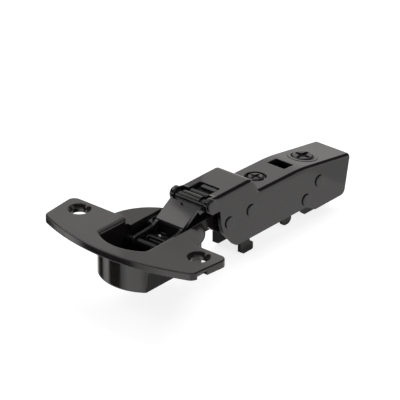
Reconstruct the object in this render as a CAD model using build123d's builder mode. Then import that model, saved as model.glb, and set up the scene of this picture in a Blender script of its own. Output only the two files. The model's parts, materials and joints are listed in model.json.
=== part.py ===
from build123d import *
from math import asin, atan2, cos, degrees, hypot, radians, sin
import os

# Concealed cabinet hinge: a 35 mm cup with a screw-on flange, two links and a sheet steel arm on a
# clip-on carrier, shown with the door 90 degrees open.
# The origin is the centre of the cup bore on the door's face. +X runs along the pivot pins, +Y from
# the cup to the rear of the arm, +Z out of the mouth of the cup. All sizes are in millimetres.

# Cup and flange
cup_r = 17.5
cup_depth = 13.0
cup_wall = 1.0
cup_floor = 1.2
cup_corner_r = 1.4
cup_flat_x = 10.8
cup_outer_corner_r = 0.9
flange_t = 2.6
flange_edge_r = 0.45
flange_corner_r = 2.8
flange_back_y = 0.2
flange_back_half = 34.0
flange_front_half = 32.4
flange_end_front_y = -15.7
flange_front_y = -22.3
mouth_fillet = 1.5
rim_r = 18.35
rim_t = 0.35
rim_slot_gap = 0.3
rim_shelf_t = 1.4
notch_bottom_z = -7.0
screw_spacing = 52.0
screw_line_y = -5.5
screw_hole_r = 2.75
countersink_r = 3.93
end_notch_t = 1.6
end_notch_length = 4.4
end_notch_reach = 1.5

# Pivot pins, as (y, z): A and B in the arm, C and D in the cup
pivot_a = (21.8, 4.2)
pivot_b = (31.3, -5.6)
pivot_c = (-0.6, -4.2)
pivot_d = (4.0, -5.2)
arm_pin_r = 1.3
rear_pin_r = 1.5
cup_pin_r = 1.25
pin_head_r = 2.2
pin_head_t = 0.5
cup_pin_head_r = 1.9
cam_half = 2.6
running_gap = 0.05

# Arm, a folded channel
arm_half = 8.0
arm_t = 1.5
arm_bend_r = 1.4
ear_r = 2.5
front_window_half = 4.4
front_window_back_y = 30.8
front_web_z = 6.0
front_web_y = 24.4
rear_web_z = 0.45
step_y = 46.9
web_break = (69.5, -0.1)
arm_end_y = 95.6
arm_end_z = -4.2
arm_side_z = -15.7
arm_heel_z = -18.4
arm_gap = 0.3

# Outer link
link_side_gap = 0.5
outer_half = arm_half - arm_t - link_side_gap
outer_t = 1.3
knuckle_r = 2.1
knuckle_groove = 0.35
roll_half = 3.9
cup_eye_r = 2.1
plate_fold = (9.6, -0.3)
plate_top = (17.4, 4.6)
plate_bottom_z = -4.3

# Inner link
link_overlap_gap = 0.2
inner_half = outer_half - outer_t - link_overlap_gap
inner_t = 1.1
inner_eye_r = 2.0
inner_tail_r = 4.4
slot_across = 1.45
slot_along = 0.75

# Damper in the raised front of the arm
damper_front_y = 28.0
damper_back_y = 41.0
damper_top_z = 4.3
damper_bottom_z = 0.9
damper_bore_r = 1.35
tongue_t = 1.35
nose_half = 3.75
nose_front_y = 24.35
nose_back_y = 25.8
nose_top_z = 5.6
nose_bottom_z = 4.5
damper_z = 2.55
rod_r = 0.9
plunger_face_y = 24.75
plunger_travel = 1.7

# Clip carrier inside the arm
carrier_half = arm_half - arm_t - arm_gap
carrier_t = 1.2
carrier_web_z = -5.2
carrier_front_y = 39.1
carrier_rear_y = 88.5
carrier_low_z = -19.5

# Adjusters, catch and rivets, as (y, z) or y
overlay_y = 54.2
overlay_hole_r = 3.8
overlay_hole_t = 1.0
overlay_head_r = 2.8
screw_collar_t = 2.8
overlay_neck_r = 1.6
screw_sink = 0.35
overlay_foot_r = 2.6
window_y = 67.7
window_size = (7.6, 5.0)
cam_y = 79.4
cam_bush_r = 5.3
cam_head_r = 4.0
cam_bush_z = -3.15
cam_disc_t = 1.4
cam_groove_r = 2.6
cam_groove_half = 0.66
cam_turn_per_mm = 100.0
peg_r = 0.35
depth_travel = 1.5
rivet_e = (42.5, -5.3)
rivet_f = (71.9, -12.8)
rivet_g = (78.9, -8.2)
latch_pin = (83.5, -14.5)
latch_spring_y = 87.0

side = Plane.YZ


def side_pin(centre, radius, half_length, head_radius, head_t):
    """A pin along X with a flat riveted head at each end."""
    with BuildPart() as pin:
        with BuildSketch(side) as shaft:
            with Locations(centre):
                Circle(radius)
        extrude(amount=half_length, both=True)
        for face_x in (half_length, -half_length - head_t):
            with BuildSketch(side.offset(face_x)) as head:
                with Locations(centre):
                    Circle(head_radius)
            extrude(amount=head_t)
        ends = pin.edges().filter_by(GeomType.CIRCLE).group_by(Axis.X)
        fillet(ends[0] + ends[-1], head_t * 0.6)
    return pin


def groove_point(shift):
    """The spiral groove's centre where the peg lies in it once the arm has slid by this much."""
    angle = radians(-90.0 - cam_turn_per_mm * shift)
    return ((cam_groove_r + shift) * cos(angle), cam_y + (cam_groove_r + shift) * sin(angle))


# Hinge cup: flange, rim and cup cast as one piece
with BuildPart() as hinge_cup:
    with BuildSketch() as flange_outline:
        with BuildLine():
            back = Line((-flange_back_half, flange_back_y), (flange_back_half, flange_back_y))
            right = Line(back @ 1, (flange_front_half, flange_end_front_y))
            front = ThreePointArc(right @ 1, (0, flange_front_y), (-flange_front_half, flange_end_front_y))
            Line(front @ 1, back @ 0)
        make_face()
        fillet(flange_outline.vertices(), flange_corner_r)
    extrude(amount=flange_t)
    fillet(hinge_cup.edges().group_by(Axis.Z)[-1], flange_edge_r)
    with BuildSketch() as cup_outline:
        Circle(cup_r)
        Rectangle(2 * cup_flat_x, 2 * cup_r, mode=Mode.INTERSECT)
        fillet(cup_outline.vertices(), cup_outer_corner_r)
    extrude(amount=-cup_depth)
    fillet(hinge_cup.edges().group_by(Axis.Z)[0], 0.8)
    with BuildSketch() as rim_outline:
        Circle(rim_r)
        Rectangle(2 * rim_r, rim_r, align=(Align.CENTER, Align.MIN), mode=Mode.INTERSECT)
    extrude(amount=rim_t)
    with BuildSketch(Plane.XY.offset(flange_t)) as mouth:
        Circle(cup_r - cup_wall)
        Rectangle(2 * (cup_flat_x - cup_wall), 2 * cup_r, mode=Mode.INTERSECT)
        fillet(mouth.vertices().group_by(Axis.Y)[0], cup_corner_r)
        with Locations((0, cup_r)):
            Rectangle(2 * cup_r, 2 * (cup_r - flange_back_y - 0.01), mode=Mode.SUBTRACT)
    extrude(amount=-flange_t - cup_depth + cup_floor, mode=Mode.SUBTRACT)
    mouth_edges = hinge_cup.edges().filter_by(
        lambda e: e.center().Z > flange_t - 0.01 and abs(e.center().X) < cup_flat_x
        and e.center().Y < 0 and e.center().Y > -cup_r)
    fillet(mouth_edges, mouth_fillet)
    with BuildSketch(Plane.XY.offset(-rim_shelf_t)) as rear_cavity:
        Circle(cup_r - cup_wall)
        Rectangle(2 * (cup_flat_x - cup_wall), 2 * cup_r, mode=Mode.INTERSECT)
        with Locations((0, -cup_r)):
            Rectangle(2 * cup_r, 2 * (cup_r + flange_back_y - 0.2), mode=Mode.SUBTRACT)
    extrude(amount=-cup_depth + cup_floor + rim_shelf_t, mode=Mode.SUBTRACT)
    with BuildSketch(Plane.XY.offset(flange_t)) as rim_slot:
        with Locations((0, flange_back_y - 0.4)):
            Rectangle(2 * (arm_half + rim_slot_gap), rim_r + 1, align=(Align.CENTER, Align.MIN))
    extrude(amount=-flange_t + notch_bottom_z, mode=Mode.SUBTRACT)
    with BuildSketch(Plane.XY.offset(flange_t)) as mouth_step:
        with Locations((0, flange_back_y - 0.4)):
            Rectangle(2 * (cup_flat_x + 1.3), 2.0, align=(Align.CENTER, Align.MIN))
    extrude(amount=-flange_t + rim_t, mode=Mode.SUBTRACT)
    for centre in (pivot_c, pivot_d):
        with BuildSketch(side) as pin_hole:
            with Locations(centre):
                Circle(cup_pin_r)
        extrude(amount=cup_r, both=True, mode=Mode.SUBTRACT)
    with Locations(*[Location((x, screw_line_y, flange_t)) for x in (-screw_spacing / 2, screw_spacing / 2)]):
        CounterSinkHole(screw_hole_r, countersink_r, counter_sink_angle=90)
    with BuildSketch() as end_notches:
        for x in (-flange_front_half - 0.5, flange_front_half + 0.5):
            with Locations((x, flange_end_front_y + 4.0)):
                Rectangle(2 * end_notch_reach, end_notch_length)
    extrude(amount=end_notch_t, mode=Mode.SUBTRACT)

cup_pin_outer = side_pin(pivot_c, cup_pin_r, cup_flat_x, cup_pin_head_r, pin_head_t)
cup_pin_inner = side_pin(pivot_d, cup_pin_r, cup_flat_x, cup_pin_head_r, pin_head_t)

# Outer link: a pressed plate with two cheeks, an eye at the front pin and an eye in the cup.
# The middle of its knuckle is an involute cam that pushes the damper rod evenly.
plate_length = hypot(plate_top[0] - plate_fold[0], plate_top[1] - plate_fold[1])
plate_dir = ((plate_top[0] - plate_fold[0]) / plate_length, (plate_top[1] - plate_fold[1]) / plate_length)
inward = (plate_dir[1], -plate_dir[0])
plate_back = (plate_top[0] + outer_t * inward[0], plate_top[1] + outer_t * inward[1])
back_y = plate_fold[0] + outer_t
back_z = plate_back[1] - (plate_back[0] - back_y) * plate_dir[1] / plate_dir[0]
cam_gap = 0.1
closing_angle = 40.1
cam_rise = plunger_travel / radians(closing_angle)


def cam_point(turn):
    """The point where the cam, turned by this many degrees, touches the flat head of the damper rod."""
    reach = plunger_face_y - cam_gap - pivot_a[0] + cam_rise * radians(turn)
    return (pivot_a[0] + reach * cos(radians(turn)) - cam_rise * sin(radians(turn)),
            pivot_a[1] - reach * sin(radians(turn)) - cam_rise * cos(radians(turn)))


with BuildPart() as outer_link:
    with BuildSketch(side) as plate:
        with BuildLine():
            Polyline(plate_top, plate_fold, (plate_fold[0], plate_bottom_z), (back_y, plate_bottom_z),
                     (back_y, back_z), plate_back, close=True)
        make_face()
        fillet(plate.vertices().sort_by_distance(plate_fold)[0], outer_t + 0.4)
        fillet(plate.vertices().sort_by_distance((back_y, back_z))[0], 0.4)
    extrude(amount=outer_half, both=True)
    with BuildSketch(side) as knuckle:
        with Locations(pivot_a):
            Circle(knuckle_r)
        with BuildLine():
            Polyline((plate_back[0] - 0.9, plate_back[1] - 0.3), (plate_back[0] - 0.3, plate_back[1] + 0.1),
                     (pivot_a[0], pivot_a[1] + 0.2), (pivot_a[0], pivot_a[1] - knuckle_r + 0.1),
                     (plate_back[0] + 0.4, plate_back[1] - 1.9), close=True)
        make_face()
    extrude(amount=outer_half, both=True)
    # The rolled end wraps the pin in the middle only, and two seams run along the roll.
    for end_x in (roll_half, -outer_half):
        with BuildSketch(side.offset(end_x)) as open_side:
            with Locations(Location(pivot_a, 56)):
                Rectangle(2 * knuckle_r, 3 * knuckle_r, align=(Align.MIN, Align.CENTER))
        extrude(amount=outer_half - roll_half, mode=Mode.SUBTRACT)
    with BuildSketch(side) as seams:
        with Locations(pivot_a):
            with PolarLocations(knuckle_r, 2, start_angle=114, angular_range=31, endpoint=True):
                Rectangle(2 * knuckle_groove, knuckle_groove)
    extrude(amount=outer_half, both=True, mode=Mode.SUBTRACT)
    with BuildSketch(side) as cam:
        with BuildLine():
            face = Spline([cam_point(turn) for turn in range(-3, 46, 6)])
            Polyline(face @ 1, (pivot_a[0], pivot_a[1] - knuckle_r), pivot_a,
                     (pivot_a[0] + 0.75 * knuckle_r, pivot_a[1] - 0.65 * knuckle_r), face @ 0)
        make_face()
    extrude(amount=cam_half, both=True)
    for leg_x in (outer_half - outer_t, -outer_half):
        with BuildSketch(side.offset(leg_x)) as leg:
            with BuildLine():
                Polyline((pivot_c[0], pivot_c[1] + cup_eye_r), (4.0, -1.9), (7.6, -1.6), (plate_fold[0] + 0.3, -0.4),
                         (back_y, plate_bottom_z), (8.0, plate_bottom_z), (6.4, -3.1), (2.4, -3.1), (1.0, -4.5),
                         close=True)
            make_face()
            with Locations(pivot_c):
                Circle(cup_eye_r)
        extrude(amount=outer_t)
    with BuildSketch(side) as eyes:
        with Locations(pivot_a):
            Circle(arm_pin_r + running_gap)
        with Locations(pivot_c):
            Circle(cup_pin_r + running_gap)
    extrude(amount=outer_half + 1, both=True, mode=Mode.SUBTRACT)
    notch_plane = Plane(origin=(0, plate_top[0], plate_top[1]), x_dir=(1, 0, 0), z_dir=(0, -inward[0], -inward[1]))
    with BuildSketch(notch_plane) as root_notch:
        Circle(1.2)
    extrude(amount=outer_t, both=True, mode=Mode.SUBTRACT)

# Inner link: a narrow channel that passes through the notch of the rim
bar_top = [(4.0, -3.3), (7.8, -4.4), (9.8, -5.5), (11.2, -5.0), (12.6, -3.4), (14.5, -2.5), (20.0, -2.3),
           (26.0, -2.0), (30.5, -1.3)]
bar_bottom = [(30.5, -9.9), (27.5, -8.5), (24.5, -5.9), (20.5, -4.7), (16.0, -4.8), (13.5, -5.7), (11.5, -7.2),
              (8.5, -7.3), (4.0, -7.1)]
with BuildPart() as inner_link:
    with BuildSketch(side) as bar:
        with BuildLine():
            Polyline(*bar_top, *bar_bottom, close=True)
        make_face()
        with Locations(pivot_d):
            Circle(inner_eye_r)
        with Locations(pivot_b):
            Circle(inner_tail_r)
    extrude(amount=inner_half, both=True)
    with BuildSketch(side) as hollow:
        with BuildLine():
            Polyline((-1.0, -12.0), (-1.0, -1.0), (7.0, -5.2), (9.8, -6.6), (11.6, -6.0), (13.2, -4.5), (14.8, -3.6),
                     (20.0, -3.4), (26.0, -3.1), (27.4, -2.6), (27.4, -12.0), close=True)
        make_face()
    extrude(amount=inner_half - inner_t, both=True, mode=Mode.SUBTRACT)
    with BuildSketch(side) as eyes:
        with Locations(pivot_d):
            Circle(cup_pin_r + running_gap)
        across = degrees(atan2(pivot_b[1] - pivot_d[1], pivot_b[0] - pivot_d[0])) + 90
        with Locations(pivot_b):
            SlotCenterToCenter(2 * (slot_across - slot_along) + 0.6, 2 * (rear_pin_r + slot_along), rotation=across)
    extrude(amount=inner_half + 1, both=True, mode=Mode.SUBTRACT)

# Arm: channel folded from sheet, with a raised front, a long rear web and two ears for the front pin
with BuildPart() as hinge_arm:
    with BuildSketch(side) as arm_outline:
        with BuildLine():
            top = FilletPolyline((pivot_a[0], pivot_a[1] + ear_r), (25.6, front_web_z), (43.4, front_web_z),
                                 (step_y, rear_web_z), web_break, (arm_end_y, arm_end_z),
                                 radius=[2.5, 3.0, 0.6, 60.0])
            heel = FilletPolyline(top @ 1, (92.7, arm_heel_z), (76.8, arm_heel_z), (71.8, arm_side_z),
                                  (34.6, arm_side_z), (28.1, -8.4), (26.9, -4.4), (26.4, 0.6), (22.4, 0.6),
                                  (21.0, 1.8), radius=[2.2, 1.0, 1.0, 3.5, 3.0, 4.0, 0.5, 0.5])
            Line(heel @ 1, top @ 0)
        make_face()
        with Locations(pivot_a):
            Circle(ear_r)
    extrude(amount=arm_half, both=True)
    folds = hinge_arm.edges().filter_by(
        lambda e: abs(abs(e.center().X) - arm_half) < 0.01 and arm_end_y - 0.3 > e.center().Y > front_web_y
        and e.center().Z > (arm_end_z if e.center().Y > step_y - arm_t - 2 else front_web_z - arm_t))
    fillet(folds, arm_bend_r)
    with BuildSketch(side) as channel:
        with BuildLine():
            lid = FilletPolyline((front_web_y, -30.0), (front_web_y, front_web_z - arm_t),
                                 (42.6, front_web_z - arm_t), (step_y - 1.0, rear_web_z - arm_t),
                                 (web_break[0] - 0.2, web_break[1] - arm_t), (arm_end_y + 2, arm_end_z - arm_t - 0.4),
                                 (arm_end_y + 2, -30.0), radius=[0.01, 1.5, 1.5, 60.0, 0.01])
            Line(lid @ 1, lid @ 0)
        make_face()
    extrude(amount=arm_half - arm_t, both=True, mode=Mode.SUBTRACT)
    with BuildSketch(side) as fork:
        with Locations((front_web_y, 0)):
            Rectangle(20, 40, align=(Align.MAX, Align.CENTER))
    extrude(amount=arm_half - arm_t, both=True, mode=Mode.SUBTRACT)
    with BuildSketch(Plane.XY.offset(rear_web_z - 0.5)) as screw_collar:
        with Locations((0, overlay_y)):
            Circle(overlay_hole_r + 0.7)
    extrude(amount=-screw_collar_t)
    with BuildSketch(Plane.XY.offset(rear_web_z + 0.5)) as collar_mouth:
        with Locations((0, overlay_y)):
            Circle(overlay_hole_r)
    extrude(amount=-overlay_hole_t - 0.5, mode=Mode.SUBTRACT)
    with BuildSketch(Plane.XY.offset(front_web_z + 1)) as web_holes:
        with Locations((0, overlay_y)):
            Circle(overlay_head_r + running_gap)
        with Locations((0, cam_y)):
            Circle(cam_bush_r)
        with Locations((-0.2, window_y)):
            RectangleRounded(*window_size, 0.4)
    extrude(amount=-16, mode=Mode.SUBTRACT)
    with BuildSketch(Plane.XY.offset(front_web_z + 1)) as front_window:
        with Locations((0, front_window_back_y)):
            RectangleRounded(2 * front_window_half, 14, 0.6, align=(Align.CENTER, Align.MAX))
    extrude(amount=-arm_t - 2, mode=Mode.SUBTRACT)
    for centre, radius in ((pivot_a, arm_pin_r), (pivot_b, rear_pin_r), (rivet_e, rear_pin_r),
                           (rivet_f, rear_pin_r), (rivet_g, rear_pin_r)):
        with BuildSketch(side) as pin_hole:
            with Locations(centre):
                Circle(radius)
        extrude(amount=arm_half + 1, both=True, mode=Mode.SUBTRACT)

front_pin = side_pin(pivot_a, arm_pin_r, arm_half, ear_r - 0.4, pin_head_t + 0.2)
inner_link_pin = side_pin(pivot_b, rear_pin_r, arm_half, pin_head_r, pin_head_t)
damper_rivet = side_pin(rivet_e, rear_pin_r, arm_half, pin_head_r, pin_head_t)
guide_rivet = side_pin(rivet_f, rear_pin_r, arm_half, pin_head_r, pin_head_t)
rear_rivet = side_pin(rivet_g, rear_pin_r, arm_half, pin_head_r, pin_head_t)

# Damper housing: a moulded block under the raised web, hung on its rivet
block_half = arm_half - arm_t - 0.1
with BuildPart() as damper_housing:
    with BuildSketch(side) as block:
        with BuildLine():
            Polyline((damper_front_y, damper_bottom_z), (damper_front_y, damper_top_z), (damper_back_y, damper_top_z),
                     (44.4, 1.0), (44.9, -5.3), (40.2, -5.3), (39.4, damper_bottom_z), close=True)
        make_face()
        with Locations(rivet_e):
            Circle(2.6)
    extrude(amount=block_half, both=True)
    with BuildSketch(Plane.XY.offset(damper_top_z)) as tongue:
        with Locations((0.6, 29.5)):
            RectangleRounded(6.4, 2.0, 0.5)
    extrude(amount=tongue_t)
    with BuildSketch(side) as nose:
        with BuildLine():
            Polyline((nose_front_y, nose_bottom_z), (nose_front_y, nose_top_z - 0.5), (nose_front_y + 0.5, nose_top_z),
                     (nose_back_y, nose_top_z), (nose_back_y, damper_top_z), (damper_front_y + 1, damper_top_z),
                     (damper_front_y + 1, damper_top_z - 1.2), (nose_back_y - 0.2, damper_top_z - 1.2),
                     (nose_back_y - 0.2, nose_bottom_z), close=True)
        make_face()
    extrude(amount=nose_half, both=True)
    with BuildSketch(Plane.XY.offset(nose_bottom_z - 0.01)) as nose_gap:
        with Locations((0, damper_front_y)):
            Rectangle(2 * cam_half + 0.6, 8, align=(Align.CENTER, Align.MAX))
    extrude(amount=-2, mode=Mode.SUBTRACT)
    with BuildSketch(Plane.XY.offset(nose_top_z)) as nose_slot:
        with Locations((0, (nose_back_y + damper_front_y) / 2)):
            Rectangle(2 * cam_half + 0.6, damper_front_y - nose_back_y)
    extrude(amount=-3, mode=Mode.SUBTRACT)
    with BuildSketch(Plane.XZ.offset(-damper_front_y)) as bore:
        with Locations((0, damper_z)):
            Circle(damper_bore_r)
    extrude(amount=-10.5, mode=Mode.SUBTRACT)
    with BuildSketch(side) as rivet_bore:
        with Locations(rivet_e):
            Circle(rear_pin_r)
    extrude(amount=arm_half, both=True, mode=Mode.SUBTRACT)

# Damper rod: piston inside the bore, thin rod and a broad head that the cam pushes
with BuildPart() as damper_rod:
    with BuildSketch(Plane.XZ.offset(-plunger_face_y)) as head:
        with Locations((0, damper_z)):
            RectangleRounded(5.0, 2.6, 0.6)
    extrude(amount=-1.1)
    with BuildSketch(Plane.XZ.offset(-plunger_face_y - 1.1)) as rod:
        with Locations((0, damper_z)):
            Circle(rod_r)
    extrude(amount=-8.0)
    with BuildSketch(Plane.XZ.offset(-plunger_face_y - 7.6)) as piston:
        with Locations((0, damper_z)):
            Circle(damper_bore_r - running_gap)
    extrude(amount=-2.2)

# Clip carrier: inner channel with two front hooks, a web for the adjusters and slots for the rivets
with BuildPart() as clip_carrier:
    with BuildSketch(side) as carrier_outline:
        with BuildLine():
            edge = FilletPolyline((carrier_front_y, -17.0), (carrier_front_y, -12.0), (46.4, -12.0),
                                  (49.6, carrier_web_z), (86.0, carrier_web_z), (carrier_rear_y, -8.0),
                                  (carrier_rear_y, carrier_low_z), (73.2, carrier_low_z), (69.0, -15.4),
                                  (44.0, -15.4), (44.0, -18.0), (45.7, -18.9), (45.8, -21.7), (40.8, -21.7),
                                  (39.1, -20.6), radius=[1.5, 1.5, 1.5, 1.0, 1.0, 1.5, 0.8, 0.8, 0.3, 0.4, 0.9, 0.7, 0.7])
            Line(edge @ 1, edge @ 0)
        make_face()
        with Locations((63.55, -14.2)):
            RectangleRounded(5.0, 10.8, 2.0)
    extrude(amount=carrier_half, both=True)
    with BuildSketch(side) as carrier_hollow:
        with Locations(((carrier_front_y + carrier_rear_y) / 2, carrier_web_z - carrier_t)):
            Rectangle(2 * (carrier_rear_y - carrier_front_y), -2 * carrier_low_z, align=(Align.CENTER, Align.MAX))
    extrude(amount=carrier_half - carrier_t, both=True, mode=Mode.SUBTRACT)
    with BuildSketch(side) as rivet_slots:
        with Locations(rivet_f):
            SlotCenterToCenter(2 * depth_travel, 2 * (rear_pin_r + 0.1))
        with Locations(rivet_g):
            SlotCenterToCenter(2 * depth_travel + 0.4, 2 * (rear_pin_r + 0.3))
        with Locations(latch_pin):
            Circle(1.2)
    extrude(amount=arm_half, both=True, mode=Mode.SUBTRACT)
    with BuildSketch(Plane.XY.offset(carrier_web_z)) as web_slots:
        with Locations((0, overlay_y)):
            SlotCenterToCenter(2 * depth_travel + 0.6, 2 * (overlay_neck_r + 0.3), rotation=90)
        with Locations((0, overlay_y + 5.2)):
            Circle(3.2)
        with Locations((0, window_y)):
            RectangleRounded(6.0, 4.0, 1.0)
    extrude(amount=-carrier_t, mode=Mode.SUBTRACT)
    with BuildSketch(Plane.XY.offset(carrier_web_z)) as peg:
        with Locations((0, cam_y - cam_groove_r)):
            Circle(peg_r)
    extrude(amount=1.15)

# Guide block: slides between the carrier's walls and carries the arm on the guide rivet
with BuildPart() as guide_block:
    with BuildSketch(side) as block:
        with Locations(rivet_f):
            RectangleRounded(7.0, 6.0, 1.0)
            Circle(rear_pin_r + running_gap, mode=Mode.SUBTRACT)
    extrude(amount=carrier_half - carrier_t - 0.1, both=True)

# Overlay screw: cross-head screw in the web's collar, with the carrier's web between its two shoulders
shoulder_gap = 0.6
with BuildPart() as overlay_screw:
    with BuildSketch(Plane.XY.offset(rear_web_z - screw_sink)) as head:
        with Locations((0, overlay_y)):
            Circle(overlay_head_r)
    extrude(amount=screw_sink - 3.15)
    fillet(overlay_screw.edges().group_by(Axis.Z)[-1], 0.3)
    with BuildSketch(Plane.XY.offset(rear_web_z - 3.15)) as shoulder:
        with Locations((0, overlay_y)):
            Circle(overlay_foot_r)
    extrude(amount=carrier_web_z + shoulder_gap - rear_web_z + 3.15)
    with BuildSketch(Plane.XY.offset(carrier_web_z + shoulder_gap)) as neck:
        with Locations((0, overlay_y)):
            Circle(overlay_neck_r)
    extrude(amount=-carrier_t - 2 * shoulder_gap)
    with BuildSketch(Plane.XY.offset(carrier_web_z - carrier_t - shoulder_gap)) as foot:
        with Locations((0, overlay_y)):
            Circle(overlay_foot_r)
    extrude(amount=-1.2)
    with BuildSketch(Plane.XY.offset(rear_web_z - screw_sink)) as cross:
        with Locations((0, overlay_y)):
            Rectangle(1.6 * overlay_head_r, 0.4 * overlay_head_r)
            Rectangle(0.4 * overlay_head_r, 1.6 * overlay_head_r)
    extrude(amount=-1.3, mode=Mode.SUBTRACT)

# Cam bush: a ring pressed into the web, its top cut along the web's slope
web_fall = (arm_end_z - web_break[1]) / (arm_end_y - web_break[0])
web_slope = degrees(atan2(web_fall, 1))
web_at_cam = web_break[1] + web_fall * (cam_y - web_break[0])
sloped_top = Plane(origin=(0, cam_y, web_at_cam + 0.12), x_dir=(1, 0, 0),
                   z_dir=(0, -sin(radians(web_slope)), cos(radians(web_slope))))
with BuildPart() as cam_bush:
    with BuildSketch(Plane.XY.offset(cam_bush_z)) as ring:
        with Locations((0, cam_y)):
            Circle(cam_bush_r)
            Circle(cam_head_r + running_gap, mode=Mode.SUBTRACT)
    extrude(amount=4.0)
    split(bisect_by=sloped_top, keep=Keep.BOTTOM)

# Depth cam: a cross-head disc under the web. The carrier's peg runs in its spiral groove, so a turn
# of the head slides the arm along the carrier.
with BuildPart() as depth_cam:
    with BuildSketch(Plane.XY.offset(cam_bush_z - running_gap)) as disc:
        with Locations((0, cam_y)):
            Circle(cam_bush_r - 0.12)
    extrude(amount=-cam_disc_t)
    with BuildSketch(Plane.XY.offset(cam_bush_z - running_gap)) as head:
        with Locations((0, cam_y)):
            Circle(cam_head_r)
    extrude(amount=web_at_cam + 0.1 - cam_bush_z + running_gap)
    fillet(depth_cam.edges().group_by(Axis.Z)[-1], 0.25)
    with BuildSketch(Plane.XY.offset(web_at_cam + 0.1)) as cross:
        with Locations((0, cam_y)):
            Rectangle(1.35 * cam_head_r, 0.3 * cam_head_r)
            Rectangle(0.3 * cam_head_r, 1.35 * cam_head_r)
    extrude(amount=-1.2, mode=Mode.SUBTRACT)
    with BuildSketch(Plane.XY.offset(cam_bush_z - running_gap - cam_disc_t)) as groove:
        with BuildLine():
            spiral = Spline([groove_point(shift * 0.25) for shift in range(-7, 8)])
        trace(line_width=2 * cam_groove_half)
    extrude(amount=0.9, mode=Mode.SUBTRACT)

# Release catch at the rear, its pin and its spring
with BuildPart() as latch_axle:
    with BuildSketch(side) as shaft:
        with Locations(latch_pin):
            Circle(1.2)
    extrude(amount=carrier_half, both=True)
with BuildPart() as release_latch:
    with BuildSketch(side) as lever:
        with BuildLine():
            lever_edge = FilletPolyline((80.6, -14.0), (82.0, -12.3), (90.6, -12.3), (92.0, -14.0), (91.4, -16.6),
                                        (86.0, -15.6), (84.0, -17.6), (82.6, -19.3), (78.6, -19.3), (78.6, -17.8),
                                        (80.6, -17.4), radius=[0.8, 1.0, 0.8, 0.8, 1.5, 1.0, 0.8, 0.4, 0.3])
            Line(lever_edge @ 1, lever_edge @ 0)
        make_face()
        with Locations(latch_pin):
            Circle(1.2 + running_gap, mode=Mode.SUBTRACT)
    extrude(amount=carrier_half - carrier_t - 0.3, both=True)
spring_r, spring_wire_r = 1.7, 0.25
spring_low = -12.3
spring_high = carrier_web_z - carrier_t
coil_base = Plane(origin=(0, latch_spring_y, spring_low + spring_wire_r + 0.02))
with BuildPart() as latch_spring:
    with BuildLine(coil_base) as coil:
        turns = Helix(1.2, spring_high - spring_low - 2 * spring_wire_r - 0.04, spring_r)
    with BuildSketch(Plane(origin=turns @ 0, z_dir=turns % 0)) as wire:
        Circle(spring_wire_r)
    sweep(path=turns)

pieces = {
    "hinge_cup": hinge_cup,
    "cup_pin_outer": cup_pin_outer,
    "cup_pin_inner": cup_pin_inner,
    "outer_link": outer_link,
    "inner_link": inner_link,
    "hinge_arm": hinge_arm,
    "front_pin": front_pin,
    "inner_link_pin": inner_link_pin,
    "damper_rivet": damper_rivet,
    "guide_rivet": guide_rivet,
    "rear_rivet": rear_rivet,
    "damper_housing": damper_housing,
    "damper_rod": damper_rod,
    "clip_carrier": clip_carrier,
    "guide_block": guide_block,
    "overlay_screw": overlay_screw,
    "cam_bush": cam_bush,
    "depth_cam": depth_cam,
    "latch_axle": latch_axle,
    "release_latch": release_latch,
    "latch_spring": latch_spring,
}
os.makedirs("parts", exist_ok=True)
for name, piece in pieces.items():
    piece.part.label = name
    export_step(piece.part, f"parts/{name}.step")
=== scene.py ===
import json
from math import pi, radians
import bmesh
import bpy
import numpy as np
from mathutils import Matrix, Vector


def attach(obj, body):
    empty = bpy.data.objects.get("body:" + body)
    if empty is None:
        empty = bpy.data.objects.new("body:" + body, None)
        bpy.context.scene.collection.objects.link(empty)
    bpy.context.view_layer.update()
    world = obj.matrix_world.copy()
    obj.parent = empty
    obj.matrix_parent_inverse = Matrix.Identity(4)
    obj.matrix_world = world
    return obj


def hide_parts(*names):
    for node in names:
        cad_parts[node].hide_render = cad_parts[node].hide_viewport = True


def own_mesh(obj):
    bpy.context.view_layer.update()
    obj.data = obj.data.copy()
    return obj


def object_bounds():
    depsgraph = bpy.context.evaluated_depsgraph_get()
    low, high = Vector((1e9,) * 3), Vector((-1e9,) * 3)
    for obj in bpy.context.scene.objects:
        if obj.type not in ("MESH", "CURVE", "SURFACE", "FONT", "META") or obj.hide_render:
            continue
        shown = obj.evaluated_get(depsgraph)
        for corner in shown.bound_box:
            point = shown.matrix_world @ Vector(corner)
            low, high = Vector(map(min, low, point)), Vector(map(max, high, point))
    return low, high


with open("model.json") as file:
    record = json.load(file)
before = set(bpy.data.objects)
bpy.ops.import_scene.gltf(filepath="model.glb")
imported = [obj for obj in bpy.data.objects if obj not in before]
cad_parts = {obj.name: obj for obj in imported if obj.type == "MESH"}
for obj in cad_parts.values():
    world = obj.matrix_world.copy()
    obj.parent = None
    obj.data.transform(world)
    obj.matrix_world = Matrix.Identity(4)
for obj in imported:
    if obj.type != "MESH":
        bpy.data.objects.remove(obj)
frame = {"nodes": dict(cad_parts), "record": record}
cad_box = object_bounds()

MM = 0.001
white = (1.0, 1.0, 1.0, 1.0)
warm_white = (1.0, 0.98, 0.97, 1.0)


def linear(code):
    """An sRGB hex colour as linear RGBA, by the sRGB curve."""
    share = np.array([int(code[i:i + 2], 16) for i in (1, 3, 5)]) / 255
    share = np.where(share <= 0.04045, share / 12.92, ((share + 0.055) / 1.055) ** 2.4)
    return (*map(float, share), 1.0)


def blank(owner):
    """Gives a material or the world an empty node tree."""
    owner.use_nodes = True
    owner.node_tree.nodes.clear()
    return owner


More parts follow.
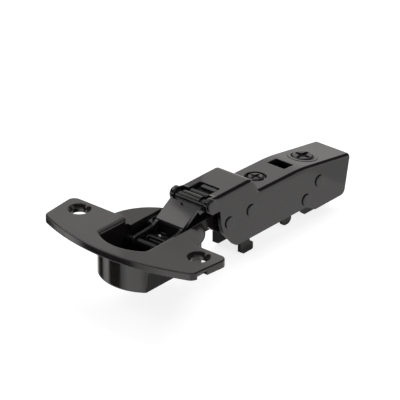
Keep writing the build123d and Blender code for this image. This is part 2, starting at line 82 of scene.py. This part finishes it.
def add_node(owner, kind, settings=(), links=()):
    """Adds a shader node of this kind to a material or the world, sets its properties and input values, and
    links its inputs to the sockets that feed them. An input goes by its name or its number."""
    tree = owner.node_tree
    node = tree.nodes.new("ShaderNode" + kind)
    for key, value in dict(settings).items():
        if isinstance(key, str) and hasattr(node, key):
            setattr(node, key, value)
        else:
            node.inputs[key].default_value = value
    for key, socket in dict(links).items():
        tree.links.new(socket, node.inputs[key])
    return node


# Finishes. Each is a real coating or raw material, with its patterns sized in millimetres. Some also carry
# painted shade.

cloud_mm = 14.0
cloud_low, cloud_high = 0.3, 0.7
glossier, duller = 0.04, 0.05
# Painted shade low in the cup: the width of its soft edge, and the share of the reflection left under it.
shade_edge_mm = 0.3
shade_share = 0.25


def coated_metal(name, colour, worn, roughness, peel_mm, peel_depth_mm, specular=0.5, edge_mm=0.3,
                 shade_top_mm=None):
    """Satin black coating: a faint orange peel and a slow change of gloss. Given a shade top, a piece
    reflects less below that height: painted shade."""
    material = blank(bpy.data.materials.new(name))
    place = add_node(material, "TexCoord").outputs["Object"]
    peel = add_node(material, "TexNoise", {"Scale": 1 / (peel_mm * MM), "Detail": 3.0, "Roughness": 0.55},
                    {"Vector": place})
    cloud = add_node(material, "TexNoise", {"Scale": 1 / (cloud_mm * MM), "Detail": 2.0}, {"Vector": place})
    gloss = add_node(material, "MapRange",
                     {"From Min": cloud_low, "From Max": cloud_high, "To Min": roughness - glossier,
                      "To Max": roughness + duller}, {"Value": cloud.outputs["Fac"]})
    tone = add_node(material, "Mix", {"data_type": "RGBA", 6: linear(colour), 7: linear(worn)},
                    {0: peel.outputs["Fac"]})
    # The coat draws round the metal's broken edges a little wider than the bevel under it.
    drawn = add_node(material, "Bevel", {"samples": 8, "Radius": edge_mm * MM})
    relief = add_node(material, "Bump", {"Strength": 0.35, "Distance": peel_depth_mm * MM},
                      {"Height": peel.outputs["Fac"], "Normal": drawn.outputs["Normal"]})
    coat = {"Base Color": tone.outputs[2], "Roughness": gloss.outputs["Result"],
            "Normal": relief.outputs["Normal"]}
    # Painted shade: below its top, the piece's specular level falls to a share of the full.
    if shade_top_mm is not None:
        level = add_node(material, "SeparateXYZ", links={"Vector": place})
        shade_falloff = add_node(material, "MapRange",
                        {"From Min": (shade_top_mm - shade_edge_mm) * MM, "To Min": shade_share * specular,
                         "From Max": (shade_top_mm + shade_edge_mm) * MM, "To Max": specular},
                        {"Value": level.outputs["Z"]})
        coat["Specular IOR Level"] = shade_falloff.outputs["Result"]
    shader = add_node(material, "BsdfPrincipled", {"IOR": 1.5, "Specular IOR Level": specular}, coat)
    add_node(material, "OutputMaterial", links={"Surface": shader.outputs["BSDF"]})
    return material


# Cathodic dip paint on die-cast zinc: satin, with the slight grain of the casting under it.
painted_zinc = coated_metal("dip-painted die-cast zinc", "#121010", "#171514", roughness=0.13,
                            peel_mm=0.9, peel_depth_mm=0.003, edge_mm=0.5)
# The same paint on pressed sheet steel is smoother.
painted_steel = coated_metal("dip-painted sheet steel", "#121010", "#161414", roughness=0.12,
                             peel_mm=0.7, peel_depth_mm=0.003)
# The links' ends in the cup reflect less below a height: painted shade, which takes the shine off them there.
steel_painted_shade_low = coated_metal("dip-painted steel with painted shade low in the cup", "#121010", "#161414", roughness=0.15,
                                peel_mm=0.7, peel_depth_mm=0.003, shade_top_mm=-0.6)
# The cup's two pins barely reflect from end to end: painted shade, as they lie deep in the cup's shade.
pin_steel_painted_shade = coated_metal("plated steel with painted shade", "#121111", "#161515", roughness=0.3,
                              peel_mm=0.4, peel_depth_mm=0.002, specular=0.12)
# The carrier is darker and less reflective than the arm, and rougher too: painted shade, for the hinge's own
# shadow on the table that its hooks mirror.
carrier_steel_painted_shade = coated_metal("sheet steel with painted shade", "#0f0e0e", "#141312", roughness=0.34,
                                peel_mm=0.5, peel_depth_mm=0.004, specular=0.25)
# Black nickel on rivets and screws follows their turned metal closely, with a finer peel than the paint's.
plated_steel = coated_metal("black nickel plated steel", "#121111", "#161515", roughness=0.20,
                            peel_mm=0.4, peel_depth_mm=0.002)
# The driver recesses are near black and barely reflect: painted shade at the bottom of the recess.
recess_painted_shade = coated_metal("painted shade in a driver recess", "#050505", "#090909", roughness=0.5,
                            peel_mm=0.3, peel_depth_mm=0.002, specular=0.1)
# Glass-filled nylon is matt from its mould.
filled_nylon = coated_metal("moulded glass-filled nylon", "#0e0e0e", "#141313", roughness=0.32,
                            peel_mm=0.5, peel_depth_mm=0.006)
# Drawn spring wire is bare under oil, which makes it the palest of the metals.
spring_wire = coated_metal("drawn spring wire", "#3a3a3b", "#4a4a4b", roughness=0.32,
                           peel_mm=0.3, peel_depth_mm=0.002)

finish_of_slot = {"black_zinc": painted_zinc, "black_steel": painted_steel, "black_pin": plated_steel,
                  "black_plastic": filled_nylon, "spring_steel": spring_wire}
finish_of_node = {"clip_carrier": carrier_steel_painted_shade, "outer_link": steel_painted_shade_low,
                  "inner_link": steel_painted_shade_low, "cup_pin_inner": pin_steel_painted_shade,
                  "cup_pin_outer": pin_steel_painted_shade}


# Metal pieces: the CAD node's own surface with the broken edges that pressing and casting leave

weld_mm = 0.002
flat_turn = 0.0087  # half a degree, in radians
sharp_turn = 0.45  # about 26 degrees
usual_edge_mm = 0.1
edge_mm_of = {"hinge_cup": 0.38, "hinge_arm": 0.2, "outer_link": 0.07, "inner_link": 0.16,
              "clip_carrier": 0.14}
slot_of = {part["node"]: part["material_slot"] for part in frame["record"]["subparts"]}
body_of = {node: body for body, nodes in frame["record"]["behaviour"]["bodies"].items() for node in nodes}


def weld(source, mesh, join_flat=False):
    """Copies the source into the mesh with doubled points merged and, where asked, flat faces joined."""
    shape = bmesh.new()
    shape.from_mesh(source)
    bmesh.ops.remove_doubles(shape, verts=shape.verts, dist=weld_mm * MM)
    if join_flat:
        bmesh.ops.dissolve_limit(shape, angle_limit=flat_turn, verts=shape.verts, edges=shape.edges)
    shape.to_mesh(mesh)
    shape.free()
    mesh.shade_smooth()


def seat(name, mesh, node):
    """A piece with this mesh, which moves with the CAD node's body."""
    piece = bpy.data.objects.new(name, mesh)
    bpy.context.scene.collection.objects.link(piece)
    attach(piece, body_of[node])
    return piece


def broken_edges(node):
    """A copy of a CAD node, its triangles joined into faces, with its sharp edges rounded."""
    mesh = bpy.data.meshes.new(node + "-surface")
    weld(frame["nodes"][node].data, mesh, join_flat=True)
    mesh.materials.append(finish_of_node.get(node, finish_of_slot[slot_of[node]]))
    piece = seat(node + "-piece", mesh, node)
    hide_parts(node)
    edge = piece.modifiers.new("broken edges", "BEVEL")
    edge.width = edge_mm_of.get(node, usual_edge_mm) * MM
    edge.segments = 2
    edge.limit_method = "ANGLE"
    edge.angle_limit = sharp_turn
    edge.use_clamp_overlap = True
    even = piece.modifiers.new("even faces", "WEIGHTED_NORMAL")
    even.keep_sharp = True


for node in frame["nodes"]:
    if node != "latch_spring":
        broken_edges(node)

# The catch's coil spring has no edges to break.
wire = frame["nodes"]["latch_spring"].data.copy()
wire.materials.clear()
wire.materials.append(spring_wire)
coil = seat("latch_spring-piece", wire, "latch_spring")
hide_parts("latch_spring")
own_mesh(coil)


# Screws: the crowns with their driver recesses, which the CAD screws leave flat

def screw_crown(node, centre_y, radius, top, rise):
    """Crown of a cross-head screw, in millimetres: a surface of r, the share of the head's radius, and of
    turn t. It stands above the rim by the rise times the square root of 1 less the eighth power of r. It sinks
    by a smooth step where r is less than a four-armed outline: a core plus arms times the fourth power of
    cos 2t."""
    core, arms, soft_edge, sunk_share = 0.30, 0.44, 0.12, 0.9
    r = np.linspace(0.0, 1.0, 49)[:, None]
    turn = np.linspace(0.0, 2 * np.pi, 121)[None, :-1]
    outline = core + arms * np.cos(2 * turn) ** 4
    inside = np.clip((outline - r) / soft_edge + 0.5, 0, 1)
    sunk = inside * inside * (3 - 2 * inside) * sunk_share * rise
    x = radius * r * np.cos(turn)
    y = centre_y + radius * r * np.sin(turn)
    z = top + rise * (1 - r ** 8) ** 0.5 - sunk
    points = np.stack([x, y, z], axis=-1) * MM
    corner = np.arange(z.size).reshape(z.shape)
    ahead = np.roll(corner, -1, axis=1)
    faces = np.stack([corner[:-1], corner[1:], ahead[1:], ahead[:-1]], axis=-1)
    mesh = bpy.data.meshes.new(node + "-crown")
    mesh.from_pydata(points.reshape(-1, 3).tolist(), [], faces.reshape(-1, 4).tolist())
    mesh.materials.append(plated_steel)
    mesh.materials.append(recess_painted_shade)
    # Faces well inside the cross take the painted shade of the recess.
    in_recess = inside[:-1] > 0.15
    mesh.polygons.foreach_set("material_index", in_recess.astype(np.int32).ravel())
    # The innermost ring is all at the head's middle, where welding makes it one point.
    weld(mesh, mesh)
    seat(node + "-crown", mesh, node)


screw_crown("overlay_screw", centre_y=54.2, radius=2.75, top=0.08, rise=0.32)
screw_crown("depth_cam", centre_y=79.4, radius=3.9, top=-1.6, rise=0.5)


# Studio: a glowing paper floor, and sheets near the hinge that only its shine mirrors

floor_gap = 0.5 * MM
floor_reach = 3.0
floor_z = float(cad_box[0][2]) - floor_gap


def studio_sheet(name, corners, material):
    """A flat sheet through four corners, given in metres."""
    mesh = bpy.data.meshes.new(name)
    mesh.from_pydata(corners, [], [(0, 1, 2, 3)])
    mesh.materials.append(material)
    sheet = bpy.data.objects.new(name, mesh)
    bpy.context.scene.collection.objects.link(sheet)
    return sheet


def grey(level):
    """A neutral colour of this linear level."""
    return (level, level, level, 1.0)


# The camera sees the paper glow, with the hinge's faint shadow. To all other light it is plain white paper.
paper = blank(bpy.data.materials.new("white paper sweep"))
glow = add_node(paper, "Emission", {"Color": white, "Strength": 0.80})
shadow = add_node(paper, "BsdfDiffuse", {"Color": grey(0.30)})
seen = add_node(paper, "AddShader", links={0: shadow.outputs[0], 1: glow.outputs[0]})
plain = add_node(paper, "BsdfDiffuse", {"Color": grey(0.86)})
ray = add_node(paper, "LightPath")
choose = add_node(paper, "MixShader",
                  links={0: ray.outputs["Is Camera Ray"], 1: plain.outputs[0], 2: seen.outputs[0]})
add_node(paper, "OutputMaterial", links={"Surface": choose.outputs[0]})

floor_corners = [(x, y, floor_z) for x, y in ((-floor_reach, -floor_reach), (floor_reach, -floor_reach),
                                              (floor_reach, floor_reach), (-floor_reach, floor_reach))]
floor = studio_sheet("studio-floor", floor_corners, paper)
# Glossy rays pass through the floor to the world's map below, which has the table's brightness.
floor.visible_glossy = False

# Sheets that only reflections see. Three are painted shade: dark glowing sheets for the table in the hinge's
# own shadow and beyond the lamps' reach. Two are grey cards. Each has its brightness and its corners in
# millimetres, with heights above the table.
near_sheets = {
    "painted-shade-under-cup": (0.3, [(-21, -20, 0.1), (31, -20, 0.1), (31, 24, 0.1), (-21, 24, 0.1)]),
    "painted-shade-under-arm": (0.3, [(-9, 20, 0.1), (10, 20, 0.1), (10, 94, 0.1), (-9, 94, 0.1)]),
    "painted-shade-on-table-behind": (0.82, [(12, 104, 0.1), (70, 104, 0.1), (70, 150, 0.1), (12, 150, 0.1)]),
    "card-behind-cup": (0.7, [(-47, 38, 34), (-26, 57, 34), (-26, 57, 92), (-47, 38, 92)]),
    "card-over-link": (0.8, [(-24, 12, 52), (12, 4, 52), (12, 30, 52), (-24, 30, 52)]),
}
for name, (brightness, corners) in near_sheets.items():
    card = blank(bpy.data.materials.new(name))
    face = add_node(card, "Emission", {"Color": warm_white, "Strength": brightness})
    add_node(card, "OutputMaterial", links={"Surface": face.outputs[0]})
    sheet = studio_sheet(name, [(x * MM, y * MM, floor_z + z * MM) for x, y, z in corners], card)
    sheet.visible_camera = sheet.visible_diffuse = sheet.visible_shadow = sheet.visible_transmission = False


# World: the rest of the studio as the finishes mirror it, by direction

# Each panel has its bearing, half width, lower edge, upper edge and edge softness, in degrees, and its
# brightness, which is below zero for a dark card that takes light off the table's.
panels = [
    ("table", 0, 180, -90, 4, 8, 1.0),
    ("card at the front left", -131, 16, -42, -19, 4, -0.97),
    ("card at the far left", 178, 13, -45, -17, 4, -0.9),
    ("lamp between the cards", -155, 5, -44, -12, 5, 0.55),
    ("lamp on the table in front", -84, 20, -50, -6, 16, 0.8),
    ("wall at the right", 52, 24, 0, 18, 4, 0.9),
    ("rail at the front left", -132, 28, 2, 12, 4, 1.3),
    ("strip behind", 129, 13, 7, 35, 5, 1.02),
    ("box over the left", -176, 36, 38, 74, 8, 2.7),
    ("box over the front right", -42, 52, 5, 48, 10, 1.0),
    ("box overhead", 0, 180, 74, 106, 8, 0.9),
]
dark_room = 0.03

world = blank(bpy.data.worlds.new("studio"))
bpy.context.scene.world = world
direction = add_node(world, "TexCoord").outputs["Generated"]
axes = add_node(world, "SeparateXYZ", links={"Vector": direction})
bearing = add_node(world, "Math", {"operation": "ARCTAN2"}, {0: axes.outputs["Y"], 1: axes.outputs["X"]})
elevation = add_node(world, "Math", {"operation": "ARCSINE"}, {0: axes.outputs["Z"]})
# The first panel adds its light to the dark room, and each later one to the sum before it.
sum_so_far = {}
for title, centre, half_width, low, high, softness, brightness in panels:
    turned = add_node(world, "Math", {"operation": "SUBTRACT", "label": title, 1: radians(centre)},
                      {0: bearing.outputs["Value"]})
    wrapped = add_node(world, "Math", {"operation": "WRAP", 1: pi, 2: -pi}, {0: turned.outputs["Value"]})
    aside = add_node(world, "Math", {"operation": "ABSOLUTE"}, {0: wrapped.outputs["Value"]})
    raised = add_node(world, "Math", {"operation": "SUBTRACT", 1: radians((low + high) / 2)},
                      {0: elevation.outputs["Value"]})
    above = add_node(world, "Math", {"operation": "ABSOLUTE"}, {0: raised.outputs["Value"]})
    shares = {}
    for socket, distance, reach in ((0, aside, half_width), (1, above, (high - low) / 2)):
        share = add_node(world, "MapRange",
                         {"interpolation_type": "SMOOTHSTEP", "From Min": radians(reach + softness / 2),
                          "From Max": radians(reach - softness / 2)}, {"Value": distance.outputs["Value"]})
        shares[socket] = share.outputs["Result"]
    cover = add_node(world, "Math", {"operation": "MULTIPLY"}, shares)
    lit = add_node(world, "Math", {"operation": "MULTIPLY_ADD", 1: brightness, 2: dark_room},
                   {0: cover.outputs["Value"]} | sum_so_far)
    sum_so_far = {2: lit.outputs["Value"]}

path = add_node(world, "LightPath")
ambient = add_node(world, "Background", {"Color": white, "Strength": 0.35})
mirrored = add_node(world, "Background", {"Color": warm_white}, {"Strength": lit.outputs["Value"]})
backdrop = add_node(world, "Background", {"Color": white, "Strength": 1.0})
around = add_node(world, "MixShader",
                  links={0: path.outputs["Is Glossy Ray"], 1: ambient.outputs[0], 2: mirrored.outputs[0]})
studio = add_node(world, "MixShader",
                  links={0: path.outputs["Is Camera Ray"], 1: around.outputs[0], 2: backdrop.outputs[0]})
add_node(world, "OutputWorld", links={"Surface": studio.outputs[0]})


# Lamps: three soft boxes that point at the middle of the hinge

hinge_middle = Vector((0, 0.035, -0.005))


def soft_lamp(name, place, size, power):
    """A square soft lamp that points at the hinge. Its reflection is already in the world's map."""
    light = bpy.data.lights.new(name, "AREA")
    light.size = size
    light.energy = power
    lamp = bpy.data.objects.new(name, light)
    lamp.location = place
    lamp.rotation_euler = (hinge_middle - Vector(place)).to_track_quat("-Z", "Y").to_euler()
    lamp.visible_glossy = False
    bpy.context.scene.collection.objects.link(lamp)


soft_lamp("overhead", (-0.25, 0.45, 0.75), size=0.7, power=9.0)
soft_lamp("left", (-0.8, -0.3, 0.5), size=0.6, power=4.0)
soft_lamp("right", (0.8, -0.1, 0.35), size=0.5, power=2.5)


# Camera at the photograph's angle. Its axis passes beside and above the cup's centre by the two shifts.

camera_turn, camera_tilt = radians(40.58), radians(27.07)
camera_distance = 1.20312
shift_across, shift_up = 0.016551, 0.0087
aim_height = 0.0026

away = np.array([np.sin(camera_turn) * np.cos(camera_tilt), -np.cos(camera_turn) * np.cos(camera_tilt),
                 np.sin(camera_tilt)])
across = np.array([np.cos(camera_turn), np.sin(camera_turn), 0.0])
upward = np.cross(away, across)
eye = away * camera_distance + across * shift_across + upward * shift_up + np.array([0.0, 0.0, aim_height])
placing = np.eye(4)
placing[:3] = np.column_stack([across, upward, away, eye])

lens = bpy.data.cameras.new("camera")
lens.sensor_width = 36.0
lens.lens = 330.71
lens.clip_start = 0.05
lens.clip_end = 20.0
camera = bpy.data.objects.new("camera", lens)
camera.matrix_world = Matrix(placing.tolist())
bpy.context.scene.collection.objects.link(camera)
bpy.context.scene.camera = camera
bpy.context.scene.view_settings.view_transform = "Standard"
